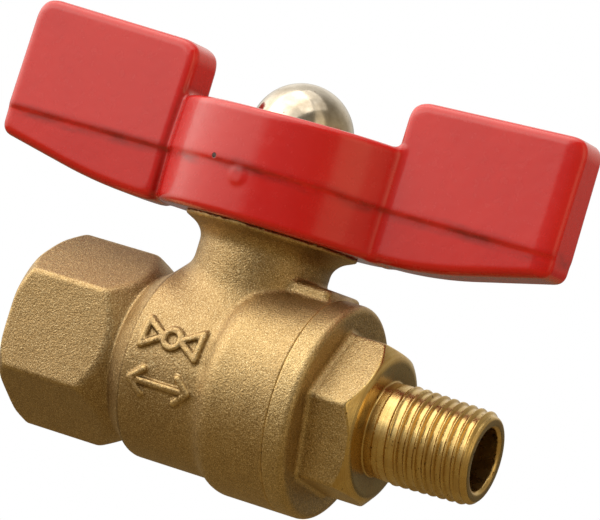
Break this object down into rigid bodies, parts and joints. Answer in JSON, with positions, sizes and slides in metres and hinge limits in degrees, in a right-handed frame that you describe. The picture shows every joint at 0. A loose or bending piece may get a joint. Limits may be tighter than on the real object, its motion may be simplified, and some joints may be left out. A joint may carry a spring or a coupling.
{
  "type": "water shutoff valve",
  "caption": "Brass quarter-turn ball valve with a female-threaded hex inlet, a male-threaded outlet and a red butterfly handle under a dome nut.",
  "frame": {"origin": "centre of the inlet's threaded mouth, on the flow axis", "axes": "+X along the flow axis, from the inlet to the outlet; +Z along the stem, towards the handle; +Y completes the right-handed frame"},
  "size_m": [0.0878, 0.031, 0.0613],
  "materials": {
    "cast_brass": "blasted casting, matt",
    "machined_brass": "turned, bright",
    "red_coating": "gloss",
    "nickel_plate": "polished nickel",
    "plated_ball": "polished",
    "plated_steel": "zinc plated",
    "ptfe": "natural"
  },
  "bodies": {
    "valve_body": {"body_casting": "cast_brass", "end_connector": "cast_brass", "body_joint_seal": "ptfe", "inlet_seat_ring": "ptfe", "outlet_seat_ring": "ptfe", "stem_thrust_washer": "ptfe", "packing_ring_lower": "ptfe", "packing_ring_middle": "ptfe", "packing_ring_upper": "ptfe", "packing_gland_nut": "machined_brass"},
    "handle_and_stem": {"stem": "machined_brass", "handle": "red_coating", "flat_washer": "plated_steel", "spring_lock_washer": "plated_steel", "dome_nut": "nickel_plate"},
    "valve_ball": {"ball": "plated_ball"}
  },
  "joints": [
    {"name": "handle_turn", "type": "hinge", "parent": "valve_body", "child": "handle_and_stem", "pos_m": [0.03, 0, 0.02], "axis": [0, 0, 1], "range_deg": [-90, 0]},
    {"name": "ball_turn", "type": "hinge", "parent": "valve_body", "child": "valve_ball", "pos_m": [0.03, 0, 0], "axis": [0, 0, 1], "range_deg": [-90, 0]}
  ],
  "couplings": [
    {"joint": "ball_turn", "follows": "handle_turn", "ratio": 1}
  ]
}
